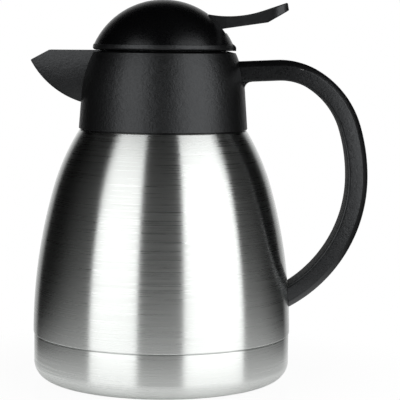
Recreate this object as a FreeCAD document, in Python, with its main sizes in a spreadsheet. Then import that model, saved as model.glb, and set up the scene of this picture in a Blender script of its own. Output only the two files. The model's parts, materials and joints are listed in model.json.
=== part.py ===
import FreeCAD, Part
import math
import os
import re

import Sketcher

# Double-walled vacuum carafe with a plastic collar, spout, loop handle and lever lid.
# Millimetres, +Z up, origin at the centre of the foot, spout towards -X and handle towards +X.

DIMENSIONS = (
    # Steel flask
    ("cup_radius", 70.0, "outside of the base cup"),
    ("cup_round", 9.0, "corner radius of the base cup"),
    ("foot_width", 11.0, "width of the ring that the pot stands on"),
    ("foot_recess", 2.0, "rise of the floor inside the foot ring"),
    ("seam_height", 25.1, "height of the seam between cup and shell"),
    ("seam_gap", 0.4, "height of the groove at the seam"),
    ("seam_step", 0.4, "how far the shell stands proud of the cup"),
    ("steel", 0.8, "wall of the steel pieces"),
    ("skirt_lift", 1.2, "lower edge of the shell above the round of the cup"),
    ("base_flange", 6.0, "height of the flange of the vacuum base"),
    ("shoulder_height", 135.5, "height of the shell where it passes under the collar"),
    ("shoulder_slope", 31.7, "lean of the shell there, degrees"),
    ("bell_ratio", 2.27, "lower sweep of the bell against the upper sweep"),
    ("neck_bore", 30.0, "inside radius of the neck"),
    ("neck_gap", 1.4, "space between the two walls of the neck"),
    ("neck_rise", 5.5, "rise of the cone from the shoulder to the neck"),
    ("neck_length", 6.5, "straight part of the neck"),
    ("vacuum_gap", 4.0, "space between shell and liner"),
    ("liner_lift", 6.0, "liner above the vacuum base"),
    ("liner_round", 18.0, "bottom corner radius of the liner"),
    ("getter_radius", 9.0, "getter disc"),
    ("getter_thick", 2.4, "getter disc"),
    ("getter_offset", 26.0, "getter disc from the axis"),
    ("seal_radius", 3.0, "pump-out hole"),
    ("seal_head", 5.5, "head of the vacuum seal"),
    ("seal_thick", 1.5, "head of the vacuum seal"),
    # Fits
    ("fit_gap", 0.1, "between fixed pieces"),
    ("seat_gap", 0.3, "between pieces that come apart"),
    ("run_gap", 0.05, "round pins"),
    # Collar and spout
    ("collar_height", 43.1, "rim above the shoulder"),
    ("collar_lip", 0.4, "collar proud of the shoulder"),
    ("collar_round", 1.2, "lower edge of the collar"),
    ("collar_taper", 1.6, "draw-in of the straight lower part"),
    ("collar_flare", 5.2, "draw-in of the curved upper part"),
    ("waist_height", 21.5, "straight lower part of the collar"),
    ("rim_width", 6.2, "throat to the outer corner of the rim"),
    ("rim_flat", 2.0, "level part of the rim"),
    ("rim_drop", 1.0, "fall of the rim to its outer corner"),
    ("plastic", 2.2, "wall of the mouldings"),
    ("sleeve_wall", 2.0, "wall round the throat"),
    ("sleeve_lift", 2.0, "sleeve above the foot of the neck"),
    ("gasket_thick", 1.2, "neck gasket"),
    ("ledge_thick", 2.0, "ledge that presses on the neck gasket"),
    ("spout_reach", 32.8, "tip of the spout beyond the rim"),
    ("spout_drop", 6.3, "tip of the spout below the rim"),
    ("spout_mouth", 10.2, "length of the slanted mouth"),
    ("spout_depth", 30.2, "lowest point of the keel below the rim"),
    ("keel_radius", 46.3, "curve of the keel"),
    ("keel_width", 3.4, "round bottom of the spout"),
    ("spout_width", 22.0, "spout where it leaves the collar"),
    ("spout_bulge", 55.0, "curve of the sides of the spout, radius"),
    ("tip_width", 4.4, "spout at its tip"),
    ("spout_wall", 1.5, "wall of the spout"),
    ("spout_lip", 0.9, "blunt tip of the spout"),
    # Handle
    ("handle_clear", 30.5, "finger room beyond the cup"),
    ("handle_thick", 11.0, "loop with its cover"),
    ("handle_width", 20.0, "loop"),
    ("handle_round", 1.2, "edges on the finger side"),
    ("cover_thick", 3.3, "cover strip"),
    ("cover_bevel", 2.65, "bevels of the cover strip"),
    ("cover_edge", 0.35, "ridge of those bevels, radius"),
    ("cover_rib", 1.6, "rib of the cover inside the channel"),
    ("channel_width", 14.0, "channel in the loop"),
    ("channel_floor", 2.6, "loop under the channel"),
    ("arm_drop", 4.3, "crest of the loop below the rim"),
    ("arm_foot", 4.0, "hollow under the arm at the collar, radius"),
    ("low_radius", 80.2, "outside of the lower sweep"),
    ("low_turn", 75.0, "end of the lower sweep inside the shell, degrees"),
    ("channel_turn", 44.0, "lower end of the channel, degrees"),
    ("side_radius", 99.5, "outside of the grip"),
    ("side_turn", 17.5, "end of the grip, degrees from level"),
    ("corner_radius", 51.5, "outside of the upper bend"),
    ("corner_turn", 60.0, "end of the upper bend, degrees"),
    ("top_radius", 39.5, "outside of the crest"),
    ("top_turn", 92.8, "end of the crest, degrees"),
    ("bracket_reach", 3.0, "tongue beyond the shell"),
    ("bracket_height", 4.4, "tongue"),
    ("bracket_width", 10.0, "tongue"),
    ("screw_radius", 1.6, "shank"),
    ("screw_head", 3.0, "head radius"),
    ("screw_head_thick", 1.8, "head"),
    ("screw_bite", 9.0, "shank inside the handle"),
    ("screw_spread", 9.0, "between the two screws"),
    # Lid
    ("lid_gap", 0.3, "edge of the dome above the level part of the rim"),
    ("dome_inset", 0.9, "dome inside the outer corner of the rim"),
    ("dome_height", 27.3, "dome"),
    ("dome_band", 1.9, "rounded edge of the dome"),
    ("dome_tuck", 1.2, "draw-in of that edge"),
    ("dome_wall", 2.2, "dome"),
    ("tab_width", 12.0, "tab at the rear of the dome"),
    ("tab_out", 0.9, "tab beyond the dome"),
    ("tab_height", 3.6, "tab"),
    ("stopper_gap", 0.6, "stopper in the throat"),
    ("stopper_wall", 2.6, "stopper"),
    ("plug_gap", 0.7, "lower end of the stopper in the neck"),
    ("plug_depth", 14.0, "lower end of the stopper below the ledge"),
    ("floor_thick", 2.4, "floor of the stopper"),
    ("groove_depth", 2.0, "gasket groove"),
    ("groove_height", 3.0, "gasket groove"),
    ("groove_lift", 2.0, "gasket groove above the lower end"),
    ("flange_thick", 2.2, "flange of the stopper and guide plate"),
    ("flange_step", 1.6, "seat of the guide plate in the flange"),
    ("window_width", 15.0, "pouring window"),
    ("window_margin", 3.0, "pouring window from the flange and shoulder"),
    ("seat_radius", 12.0, "pouring hole"),
    # Valve
    ("stem_radius", 2.5, "stem"),
    ("stem_head", 5.0, "head of the stem"),
    ("stem_head_thick", 2.0, "head of the stem"),
    ("washer_thick", 1.5, "washer"),
    ("washer_lap", 3.0, "washer beyond the pouring hole"),
    ("valve_thick", 3.6, "plug"),
    ("clip_radius", 6.0, "clip"),
    ("clip_thick", 1.6, "clip"),
    ("guide_wall", 2.6, "tube of the guide"),
    ("guide_drop", 6.0, "tube below the plate"),
    ("guide_rise", 2.0, "tube above the plate"),
    ("stem_seal_thick", 1.2, "seal on the guide"),
    ("spring_radius", 7.2, "middle of the coil"),
    ("spring_wire", 1.2, "wire"),
    ("spring_turns", 5, "coil"),
    # Lever
    ("pivot_inset", 16.3, "pin inside the edge of the dome"),
    ("pivot_rise", 11.1, "pin above the edge of the dome"),
    ("pin_radius", 1.5, "pin"),
    ("ear_radius", 3.6, "ears and hub round the pin"),
    ("ear_thick", 2.6, "ears"),
    ("side_gap", 0.4, "lever between its ears and in its slot"),
    ("lever_width", 14.0, "arm of the lever"),
    ("thumb_width", 19.0, "thumb pad at its end"),
    ("lever_reach", 29.1, "tip of the lever beyond the dome"),
    ("lever_rise", 15.2, "tip of the lever above the pin"),
    ("tip_thick", 4.2, "end of the thumb pad"),
    ("arm_rise", 8.4, "top of the arm at the dome above the pin"),
    ("arm_sag", 59.0, "hollow of the top of the arm, radius"),
    ("arm_thick", 7.6, "arm at the dome"),
    ("tip_lean", 0.8, "lean of the end of the thumb pad"),
    ("thumb_flat", 14.4, "straight top of the thumb pad"),
    ("thumb_rise", 10.5, "start of that top above the pin"),
    ("thumb_corner", 9.0, "corners of the thumb pad"),
    ("lever_round", 0.7, "edges of the arm and thumb pad"),
    ("bend_back", 11.3, "bend in the underside from the tip"),
    ("bend_drop", 6.6, "bend in the underside below the tip"),
    ("fork_drop", 2.4, "nose of the fork below the pin"),
    ("fork_nose", 1.5, "nose of the fork, radius"),
    ("fork_width", 12.0, "fork"),
    ("fork_gap", 0.4, "fork round the stem"),
    ("slot_margin", 0.3, "slot of the dome above the lever"),
    ("press_room", 2.4, "slot of the dome below the lever"),
)

# Sizes and places that follow from the driving dimensions.
DERIVED = (
    # Flask
    ("shell_radius", "cup_radius + seam_step"),
    ("skirt_radius", "cup_radius - steel - fit_gap"),
    ("skirt_bottom", "cup_round + skirt_lift"),
    ("neck_radius", "neck_bore + 2 * steel + neck_gap"),
    ("neck_start", "shoulder_height + neck_rise"),
    ("neck_top", "neck_start + neck_length"),
    # Collar
    ("throat_radius", "neck_radius"),
    ("rim_radius", "throat_radius + rim_width"),
    ("waist_radius", "rim_radius + collar_flare"),
    ("collar_radius", "waist_radius + collar_taper"),
    ("shoulder_radius", "collar_radius - collar_lip"),
    ("cone_slope", "neck_rise / (shoulder_radius - neck_radius)"),
    ("waist_z", "shoulder_height + waist_height"),
    ("collar_top", "shoulder_height + collar_height"),
    ("rim_z", "collar_top - rim_drop"),
    ("sleeve_bore", "neck_radius + seat_gap"),
    ("sleeve_radius", "sleeve_bore + sleeve_wall"),
    ("ledge_bottom", "neck_top + gasket_thick"),
    ("ledge_top", "ledge_bottom + ledge_thick"),
    ("ledge_bore", "neck_bore + seat_gap"),
    ("taper_length", "sqrt(collar_taper ^ 2 + waist_height ^ 2)"),
    ("taper_cos", "waist_height / taper_length"),
    ("taper_sin", "collar_taper / taper_length"),
    ("flare_climb", "rim_z - waist_z"),
    ("flare_radius", "(collar_flare ^ 2 + flare_climb ^ 2)"
                     " / (2 * (collar_flare * taper_cos - flare_climb * taper_sin))"),
    ("flare_x", "waist_radius - flare_radius * taper_cos"),
    ("flare_z", "waist_z - flare_radius * taper_sin"),
    ("void_top", "rim_z - plastic"),
    ("void_radius", "flare_x + sqrt((flare_radius - plastic) ^ 2 - (void_top - flare_z) ^ 2)"),
    # Bell of the shell: two arcs, upright at the seam and leaning in at the shoulder
    ("bell_run", "shoulder_radius - shell_radius"),
    ("bell_climb", "shoulder_height - seam_height"),
    ("bell_open", "bell_ratio * (1 - cos(shoulder_slope))"),
    ("bell_lean", "bell_ratio * bell_climb - bell_run * sin(shoulder_slope)"
                  " + bell_climb * cos(shoulder_slope)"),
    ("bell_tangent", "(sqrt(bell_lean ^ 2 + 2 * bell_open * (bell_run ^ 2 + bell_climb ^ 2)) - bell_lean)"
                     " / (2 * bell_open)"),
    ("bell_end_r", "(shell_radius + bell_ratio * (shoulder_radius + bell_tangent * sin(shoulder_slope)))"
                   " / (1 + bell_ratio)"),
    ("bell_end_z", "(seam_height + bell_ratio * bell_tangent"
                   " + bell_ratio * (shoulder_height - bell_tangent * cos(shoulder_slope)))"
                   " / (1 + bell_ratio)"),
    ("bell_radius", "((shell_radius - bell_end_r) ^ 2 + (bell_end_z - seam_height) ^ 2)"
                    " / (2 * (shell_radius - bell_end_r))"),
    ("bell_centre", "shell_radius - bell_radius"),
    ("bell_sin", "(bell_end_z - seam_height) / bell_radius"),
    ("bell_cos", "sqrt(1 - bell_sin ^ 2)"),
    ("crown_radius", "(shoulder_height - bell_end_z) / (sin(shoulder_slope) - bell_sin)"),
    # Liner
    ("liner_offset", "steel + vacuum_gap"),
    ("liner_bottom", "skirt_bottom + steel + liner_lift"),
    ("liner_turn", "liner_bottom + liner_round"),
    ("liner_radius", "bell_centre + sqrt((bell_radius - liner_offset) ^ 2"
                     " - (liner_turn - seam_height) ^ 2)"),
    # Spout
    ("tip_x", "-rim_radius - spout_reach"),
    ("tip_z", "collar_top - spout_drop"),
    ("keel_z", "collar_top - spout_depth + keel_radius"),
    ("keel_x", "tip_x + sqrt(keel_radius ^ 2 - (keel_z - tip_z) ^ 2)"),
    # Handle
    ("reach", "cup_radius + handle_clear + handle_thick"),
    ("crest", "collar_top - arm_drop"),
    ("grip_z", "crest - side_radius * sin(side_turn) - corner_radius * (sin(corner_turn) - sin(side_turn))"
               " - top_radius * (1 - sin(corner_turn))"),
    ("low_x", "reach - low_radius"),
    ("side_x", "reach - side_radius"),
    ("corner_x", "side_x + (side_radius - corner_radius) * cos(side_turn)"),
    ("corner_z", "grip_z + (side_radius - corner_radius) * sin(side_turn)"),
    ("top_x", "corner_x + (corner_radius - top_radius) * cos(corner_turn)"),
    ("top_z", "corner_z + (corner_radius - top_radius) * sin(corner_turn)"),
    ("loop_middle", "(cover_thick + handle_thick) / 2"),
    ("bracket_z", "grip_z - sqrt((low_radius - loop_middle) ^ 2 - (shell_radius - low_x) ^ 2)"),
    ("bracket_root", "bell_centre + sqrt(bell_radius ^ 2 - (bracket_z - seam_height) ^ 2)"),
    ("screw_z", "crest - loop_middle - 1"),
    ("skin_at_head", "flare_x + sqrt((flare_radius - plastic) ^ 2 - (screw_z + screw_head - flare_z) ^ 2)"),
    ("head_x", "sqrt(skin_at_head ^ 2 - (screw_spread / 2 + screw_head) ^ 2) - fit_gap"),
    ("skin_at_screw", "flare_x + sqrt(flare_radius ^ 2 - (screw_z - flare_z) ^ 2)"),
    ("arm_fall", "cos(top_turn) / sin(top_turn)"),
    ("arm_floor", "top_z + (top_radius - handle_thick) * sin(top_turn)"
                  " + (top_x + (top_radius - handle_thick) * cos(top_turn) - waist_radius) * arm_fall"),
    ("skin_at_arm", "flare_x + sqrt(flare_radius ^ 2 - (arm_floor - flare_z) ^ 2)"),
    # Lid
    ("dome_radius", "rim_radius - dome_inset"),
    ("dome_rim", "collar_top + lid_gap"),
    ("dome_edge", "dome_rim + dome_band"),
    ("dome_cap", "dome_height - dome_band"),
    ("dome_top", "dome_rim + dome_height"),
    ("dome_sphere", "(dome_radius ^ 2 + dome_cap ^ 2) / (2 * dome_cap)"),
    ("dome_hollow", "dome_sphere - dome_wall"),
    ("dome_z", "dome_top - dome_sphere"),
    ("dome_bore", "sqrt(dome_hollow ^ 2 - (dome_rim - dome_z) ^ 2)"),
    ("flange_bottom", "dome_rim + seat_gap"),
    ("flange_top", "flange_bottom + flange_thick"),
    ("flange_radius", "sqrt(dome_hollow ^ 2 - (flange_top - dome_z) ^ 2) - fit_gap"),
    ("stopper_radius", "throat_radius - stopper_gap"),
    ("stopper_bore", "stopper_radius - stopper_wall"),
    ("plate_radius", "stopper_bore + flange_step"),
    ("plug_radius", "neck_bore - plug_gap"),
    ("plug_bore", "plug_radius - groove_depth - stopper_wall"),
    ("plug_bottom", "ledge_top - plug_depth"),
    ("stopper_step", "ledge_top + seat_gap"),
    ("stopper_shelf", "stopper_step + stopper_wall"),
    ("groove_bottom", "plug_bottom + groove_lift"),
    ("groove_top", "groove_bottom + groove_height"),
    # Valve
    ("washer_bottom", "plug_bottom + floor_thick + fit_gap"),
    ("valve_bottom", "washer_bottom + washer_thick"),
    ("valve_top", "valve_bottom + valve_thick"),
    ("washer_radius", "seat_radius + washer_lap"),
    ("stem_bore", "stem_radius + fit_gap"),
    ("guide_bore", "stem_radius + seat_gap"),
    ("guide_top", "flange_top + guide_rise"),
    # Lever
    ("pivot_x", "dome_radius - pivot_inset"),
    ("pivot_z", "dome_rim + pivot_rise"),
    ("nose_z", "pivot_z - fork_drop"),
    ("head_bottom", "nose_z + fork_nose + seat_gap"),
    ("lever_tip_x", "dome_radius + lever_reach"),
    ("lever_tip_z", "pivot_z + lever_rise"),
    ("arm_top", "pivot_z + arm_rise"),
    ("arm_x", "sqrt(dome_sphere ^ 2 - (arm_top - dome_z) ^ 2)"),
    ("arm_bottom", "arm_top - arm_thick"),
    ("arm_under_x", "sqrt(dome_sphere ^ 2 - (arm_bottom - dome_z) ^ 2)"),
    ("taper_start", "arm_under_x + 2 * slot_margin + 1"),
    ("ears_width", "lever_width + 2 * (side_gap + ear_thick)"),
)

LEFT, RIGHT = 1, -1
WORD = re.compile(r"[a-z][a-z_]*")
TINY = 1e-6

doc = FreeCAD.newDocument("vacuum_carafe")
sheet = doc.addObject("Spreadsheet::Sheet", "dims")
places = doc.addObject("App::VarSet", "places")
holder = {}


def full(expression):
    """Put the object that holds each size in front of its name."""
    return WORD.sub(lambda word: holder.get(word.group(), "") + word.group(), expression)


def number(expression):
    return float(sheet.evalExpression(full(expression)))


def fill_sheet():
    for row, (name, value, note) in enumerate(DIMENSIONS, start=1):
        sheet.set(f"A{row}", str(value))
        sheet.setAlias(f"A{row}", name)
        sheet.set(f"B{row}", note)
        holder[name] = "dims."
    doc.recompute()
    for name, expression in DERIVED:
        places.addProperty("App::PropertyFloat", name)
        places.setExpression(name, full(expression))
        holder[name] = "places."
    doc.recompute()


def new_body(label):
    body = doc.addObject("PartDesign::Body", label)
    body.Label = label
    return body


def new_sketch(body, plane, offset=None):
    sketch = body.newObject("Sketcher::SketchObject", "sketch")
    support = next(item for item in body.Origin.OriginFeatures if item.Role == plane)
    sketch.AttachmentSupport = [(support, "")]
    sketch.MapMode = "FlatFace"
    if offset is not None:
        sketch.setExpression("AttachmentOffset.Base.z", full(offset))
    return sketch


def bind(sketch, kind, geometry, expression):
    """Add a dimension to a sketch and tie it to the sheet."""
    index = sketch.addConstraint(Sketcher.Constraint(kind, *geometry, number(expression)))
    if WORD.search(expression):
        sketch.setExpression(f"Constraints[{index}]", full(expression))


def arc_between(start, end, radius, side):
    """The shorter arc from start to end, its centre to the left or right of the way."""
    chord = end.sub(start)
    half = chord.Length / 2
    across = FreeCAD.Vector(-chord.y, chord.x, 0).normalize()
    centre = (start + end) * 0.5 + across * (side * math.sqrt(max(radius ** 2 - half ** 2, 0)))
    first, last = (start, end) if side == LEFT else (end, start)
    angles = [math.atan2(point.y - centre.y, point.x - centre.x) for point in (first, last)]
    circle = Part.Circle(centre, FreeCAD.Vector(0, 0, 1), radius)
    return Part.ArcOfCircle(circle, *angles)


def draw(sketch, corners):
    """Draw a closed outline; a corner with a radius and a side starts an arc to the next one."""
    points = [FreeCAD.Vector(number(corner[0]), number(corner[1]), 0) for corner in corners]
    ends = []
    for corner, start, end in zip(corners, points, points[1:] + points[:1]):
        if len(corner) == 2:
            index = sketch.addGeometry(Part.LineSegment(start, end), False)
            ends.append((index, 1, 2))
        else:
            radius, side = corner[2:]
            index = sketch.addGeometry(arc_between(start, end, number(radius), side), False)
            ends.append((index, 1, 2) if side == LEFT else (index, 2, 1))
    for (this, _, tail), (after, head, _) in zip(ends, ends[1:] + ends[:1]):
        sketch.addConstraint(Sketcher.Constraint("Coincident", this, tail, after, head))
    for corner, (index, head, _) in zip(corners, ends):
        bind(sketch, "DistanceX", (index, head), corner[0])
        bind(sketch, "DistanceY", (index, head), corner[1])
        if len(corner) > 2:
            bind(sketch, "Radius", (index,), corner[2])


def draw_circle(sketch, across, up, radius):
    centre = FreeCAD.Vector(number(across), number(up), 0)
    index = sketch.addGeometry(Part.Circle(centre, FreeCAD.Vector(0, 0, 1), number(radius)), False)
    bind(sketch, "DistanceX", (index, 3), across)
    bind(sketch, "DistanceY", (index, 3), up)
    bind(sketch, "Radius", (index,), radius)


def rectangle(left, bottom, right, top):
    return [(left, bottom), (right, bottom), (right, top), (left, top)]


def finish_feature(body, feature, before):
    """Recompute, and make sure that a feature changed the solid."""
    doc.recompute()
    if abs(body.Shape.Volume - before) < TINY:
        raise RuntimeError(f"{body.Label}: {feature.Name} changes nothing")
    return feature


def volume(body):
    return body.Shape.Volume if body.Tip else 0.0


def turn(body, corners, kind="Revolution"):
    before = volume(body)
    sketch = new_sketch(body, "XZ_Plane")
    draw(sketch, corners)
    feature = body.newObject(f"PartDesign::{kind}", kind.lower())
    feature.Profile = sketch
    feature.ReferenceAxis = (sketch, ["V_Axis"])
    feature.Angle = 360
    return finish_feature(body, feature, before)


def extrude(body, plane, loops, length, kind="Pad", side="Symmetric", offset=None):
    """Pad or pocket closed loops; a loop of three expressions is a circle."""
    before = volume(body)
    sketch = new_sketch(body, plane, offset)
    for loop in loops:
        if isinstance(loop, tuple):
            draw_circle(sketch, *loop)
        else:
            draw(sketch, loop)
    feature = body.newObject(f"PartDesign::{kind}", kind.lower())
    feature.Profile = sketch
    feature.SideType = side
    feature.setExpression("Length", full(length))
    return finish_feature(body, feature, before)


def loft(body, sections, kind):
    """Loft through outlines on planes across X, given as (offset, corners)."""
    before = volume(body)
    sketches = []
    for offset, corners in sections:
        sketch = new_sketch(body, "YZ_Plane", offset)
        draw(sketch, corners)
        sketches.append(sketch)
    feature = body.newObject(f"PartDesign::{kind}Loft", "loft")
    feature.Profile = sketches[0]
    feature.Sections = sketches[1:]
    return finish_feature(body, feature, before)


def dress_edges(body, kind, quantity, size, wanted):
    """Round or bevel the edges of the last feature that a test picks."""
    base = body.Tip
    before = volume(body)
    names = [f"Edge{i}" for i, edge in enumerate(base.Shape.Edges, start=1) if wanted(edge)]
    feature = body.newObject(f"PartDesign::{kind}", kind.lower())
    feature.Base = (base, names)
    feature.setExpression(quantity, full(size))
    return finish_feature(body, feature, before)


def round_edges(body, radius, wanted):
    return dress_edges(body, "Fillet", "Radius", radius, wanted)


def bevel_edges(body, size, wanted):
    return dress_edges(body, "Chamfer", "Size", size, wanted)


def ring(label, inner, outer, bottom, top):
    body = new_body(label)
    turn(body, rectangle(inner, bottom, outer, top))
    return body


def backwards(path):
    """The same way walked from its far end."""
    way = []
    for corner, previous in zip(path[::-1], path[-2::-1]):
        arc = previous[2:]
        way.append(corner[:2] + ((arc[0], -arc[1]) if arc else ()))
    way.append(path[0][:2])
    return way


def bell_path(inset, start_r, start_z):
    """The two arcs of the bell, moved in by a wall, from a start near the seam to the shoulder."""
    return [
        (start_r, start_z, f"bell_radius - ({inset})", LEFT),
        (f"bell_end_r - ({inset}) * bell_cos", f"bell_end_z - ({inset}) * bell_sin",
         f"crown_radius - ({inset})", LEFT),
        (f"shoulder_radius - ({inset}) * cos(shoulder_slope)",
         f"shoulder_height - ({inset}) * sin(shoulder_slope)"),
    ]


def make_base_cup():
    body = new_body("base_cup")
    foot_edge = "cup_radius - cup_round - foot_width"
    turn(body, [
        ("0", "foot_recess"),
        (f"{foot_edge} - foot_recess", "foot_recess"),
        (foot_edge, "0"),
        ("cup_radius - cup_round", "0", "cup_round", LEFT),
        ("cup_radius", "cup_round"),
        ("cup_radius", "seam_height - seam_gap"),
        ("cup_radius - steel", "seam_height - seam_gap"),
        ("cup_radius - steel", "cup_round", "cup_round - steel", RIGHT),
        ("cup_radius - cup_round", "steel"),
        (foot_edge, "steel"),
        (f"{foot_edge} - foot_recess", "foot_recess + steel"),
        ("0", "foot_recess + steel"),
    ])


def make_outer_shell():
    body = new_body("outer_shell")
    inside = bell_path("steel", "shell_radius - steel", "seam_height + steel")
    turn(body, [
        ("skirt_radius", "skirt_bottom"),
        ("skirt_radius", "seam_height"),
        *bell_path("0", "shell_radius", "seam_height"),
        ("neck_radius", "neck_start"),
        ("neck_radius", "neck_top - steel"),
        ("neck_radius - steel", "neck_top - steel"),
        ("neck_radius - steel", "neck_start - steel / 2"),
        *backwards(inside),
        ("skirt_radius - steel", "seam_height + steel"),
        ("skirt_radius - steel", "skirt_bottom"),
    ])


def make_inner_liner():
    body = new_body("inner_liner")
    cone_end = "neck_start - vacuum_gap / 2"
    inside = bell_path("liner_offset + steel", "liner_radius - steel", "liner_turn")
    turn(body, [
        ("0", "liner_bottom"),
        ("liner_radius - liner_round", "liner_bottom", "liner_round", LEFT),
        *bell_path("liner_offset", "liner_radius", "liner_turn"),
        ("neck_bore + steel", cone_end),
        ("neck_bore + steel", "neck_top - steel"),
        ("neck_radius", "neck_top - steel"),
        ("neck_radius", "neck_top"),
        ("neck_bore", "neck_top"),
        ("neck_bore", f"{cone_end} - steel / 2"),
        *backwards(inside)[:-1],
        ("liner_radius - steel", "liner_turn", "liner_round - steel", RIGHT),
        ("liner_radius - liner_round", "liner_bottom + steel"),
        ("0", "liner_bottom + steel"),
    ])


def make_vacuum_base():
    body = new_body("vacuum_base")
    edge = "skirt_radius - steel - fit_gap"
    turn(body, [
        ("seal_radius", "skirt_bottom"),
        (edge, "skirt_bottom"),
        (edge, "skirt_bottom + base_flange"),
        (f"{edge} - steel", "skirt_bottom + base_flange"),
        (f"{edge} - steel", "skirt_bottom + steel"),
        ("seal_radius", "skirt_bottom + steel"),
    ])


def make_getter():
    disc = doc.addObject("Part::Cylinder", "getter")
    disc.setExpression("Radius", full("getter_radius"))
    disc.setExpression("Height", full("getter_thick"))
    disc.setExpression("Placement.Base.x", full("getter_offset"))
    disc.setExpression("Placement.Base.z", full("skirt_bottom + steel"))


def make_vacuum_seal():
    body = new_body("vacuum_seal")
    turn(body, [
        ("0", "skirt_bottom - seal_thick"),
        ("seal_head", "skirt_bottom - seal_thick"),
        ("seal_head", "skirt_bottom"),
        ("seal_radius - fit_gap", "skirt_bottom"),
        ("seal_radius - fit_gap", "skirt_bottom + steel"),
        ("0", "skirt_bottom + steel"),
    ])


def collar_seat(radius):
    """Height of the collar's lower edge over the cone of the shell."""
    return f"shoulder_height + (shoulder_radius - ({radius})) * cone_slope + seat_gap"


def spout_half(place, root, tip):
    """Half width of the spout at a place along X."""
    return f"({tip} + ({root} - {tip}) * ({place} - tip_x) / spout_reach)"


def keel_at(place, wall):
    """Height of the keel, or of the trough's floor a wall above it."""
    return f"(keel_z - sqrt((keel_radius - {wall}) ^ 2 - ({place} - keel_x) ^ 2))"


def vee(half, foot, bottom, top):
    """A section of the spout: full sides that lean out from a round foot."""
    shoulder = f"{bottom} + {foot} / 2"
    return [
        (f"-{foot}", shoulder, f"1.25 * {foot}", LEFT),
        (foot, shoulder, "spout_bulge", LEFT),
        (half, top),
        (f"-{half}", top, "spout_bulge", LEFT),
    ]


def add_spout(body):
    root = "-throat_radius + 3"
    stations = [f"({root} + {share} * (tip_x - ({root})))" for share in (0, 0.3, 0.55, 0.8, 1)]
    loft(body, [
        (place, vee(spout_half(place, "spout_width / 2", "tip_width / 2"), "keel_width / 2",
                    keel_at(place, "0"), "collar_top"))
        for place in stations
    ], "Additive")


def cut_trough(body):
    level = "(ledge_top + seat_gap)"
    start = "(-sleeve_radius - 1)"
    end = "(tip_x + 1.2)"
    above = "(collar_top + 2)"

    def section(place, floor):
        half = spout_half(place, "(spout_width / 2 - spout_wall)", "tip_width / 4")
        return place, vee(half, "keel_width / 4", floor, above)

    stations = [f"({start} + {share} * ({end} - {start}))" for share in (0.35, 0.7, 1)]
    loft(body, [
        section("(-throat_radius + 7)", level),
        section(start, level),
        *[section(place, keel_at(place, "spout_wall")) for place in stations],
    ], "Subtractive")


def make_collar():
    body = new_body("collar")
    edge = "collar_radius - collar_round"
    inner_edge = "collar_radius - plastic"
    turn(body, [
        (edge, collar_seat(edge), "collar_round", LEFT),
        ("collar_radius - collar_taper * collar_round / waist_height", "shoulder_height + collar_round"),
        ("waist_radius", "waist_z", "flare_radius", LEFT),
        ("rim_radius", "rim_z"),
        ("throat_radius + rim_flat", "collar_top"),
        ("throat_radius", "collar_top"),
        ("throat_radius", "ledge_top"),
        ("ledge_bore", "ledge_top"),
        ("ledge_bore", "ledge_bottom"),
        ("sleeve_bore", "ledge_bottom"),
        ("sleeve_bore", "neck_start + sleeve_lift"),
        ("sleeve_radius", "neck_start + sleeve_lift"),
        ("sleeve_radius", "void_top"),
        ("void_radius", "void_top", "flare_radius - plastic", RIGHT),
        ("waist_radius - plastic * taper_cos", "waist_z - plastic * taper_sin"),
        (inner_edge, collar_seat(inner_edge)),
    ])
    add_spout(body)
    turn(body, [
        ("0", "neck_start"),
        ("sleeve_bore", "neck_start"),
        ("sleeve_bore", "ledge_bottom"),
        ("ledge_bore", "ledge_bottom"),
        ("ledge_bore", "ledge_top"),
        ("throat_radius", "ledge_top"),
        ("throat_radius", "collar_top + 2"),
        ("0", "collar_top + 2"),
    ], "Groove")
    cut_trough(body)
    mouth = "(tip_x + spout_mouth)"
    fall = "(spout_drop - spout_lip) / spout_mouth"
    extrude(body, "XZ_Plane", [[
        (mouth, "collar_top"),
        (mouth, "collar_top + 3"),
        ("tip_x - 2", "collar_top + 3"),
        ("tip_x - 2", f"collar_top - (spout_mouth + 2) * {fall}"),
    ]], "2 * spout_width", "Pocket")
    holes = [(f"{side} * screw_spread / 2", "screw_z", "screw_radius + fit_gap") for side in (-1, 1)]
    outside = "skin_at_screw + 2"
    extrude(body, "YZ_Plane", holes, f"{outside} - sleeve_radius - 1", "Pocket", "One side", outside)


def trim_to_collar(body):
    """Cut an end to the outside of the collar."""
    turn(body, [
        ("0", "shoulder_height"),
        ("collar_radius + fit_gap", "shoulder_height"),
        ("waist_radius + fit_gap", "waist_z", "flare_radius", LEFT),
        ("rim_radius + fit_gap", "rim_z"),
        ("rim_radius + fit_gap", "collar_top + handle_thick"),
        ("0", "collar_top + handle_thick"),
    ], "Groove")


def trim_to_shell(body):
    """Cut an end to the outside of the bell."""
    path = bell_path("-fit_gap", "shell_radius + fit_gap", "seam_height")
    turn(body, [
        ("0", "0"),
        ("shell_radius + fit_gap", "0"),
        *path,
        ("0", path[-1][1]),
    ], "Groove")


def loop_path(inset, turn_down, root):
    """One side of the handle, moved in from its outside, from the shell round to the collar."""
    end_x = f"(top_x + (top_radius - ({inset})) * cos(top_turn))"
    end_z = f"(top_z + (top_radius - ({inset})) * sin(top_turn))"
    return [
        (f"low_x + (low_radius - ({inset})) * cos({turn_down})",
         f"grip_z - (low_radius - ({inset})) * sin({turn_down})", f"low_radius - ({inset})", LEFT),
        (f"reach - ({inset})", "grip_z", f"side_radius - ({inset})", LEFT),
        (f"side_x + (side_radius - ({inset})) * cos(side_turn)",
         f"grip_z + (side_radius - ({inset})) * sin(side_turn)", f"corner_radius - ({inset})", LEFT),
        (f"corner_x + (corner_radius - ({inset})) * cos(corner_turn)",
         f"corner_z + (corner_radius - ({inset})) * sin(corner_turn)", f"top_radius - ({inset})", LEFT),
        (end_x, end_z),
        (root, f"{end_z} + ({end_x} - ({root})) * arm_fall"),
    ]


def loop(outside, inside, turn_down="low_turn", root="sleeve_radius"):
    return loop_path(outside, turn_down, root) + backwards(loop_path(inside, turn_down, root))


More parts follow.
